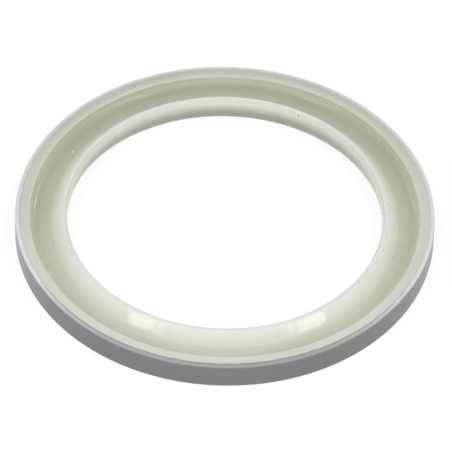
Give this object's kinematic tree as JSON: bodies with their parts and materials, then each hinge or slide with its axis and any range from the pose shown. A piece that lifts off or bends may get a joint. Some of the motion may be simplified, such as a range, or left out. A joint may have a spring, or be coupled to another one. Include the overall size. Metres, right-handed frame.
{
  "type": "sanitary clamp gasket",
  "caption": "Moulded elastomer pipe gasket: a round ring with a tall outer collar, a groove for the flange rim and a raised sealing lip leaning over the bore.",
  "frame": {"origin": "centre of the ring on its flat underside", "axes": "+Z along the ring's axis, towards the side with the groove and the lip; the section is the same all round, so +X is any direction across"},
  "size_m": [0.064, 0.064, 0.0045],
  "materials": {
    "elastomer": "smooth satin moulded elastomer, milky white with a faint yellow-green tint"
  },
  "bodies": {
    "root": {"gasket": "elastomer"}
  },
  "joints": []
}
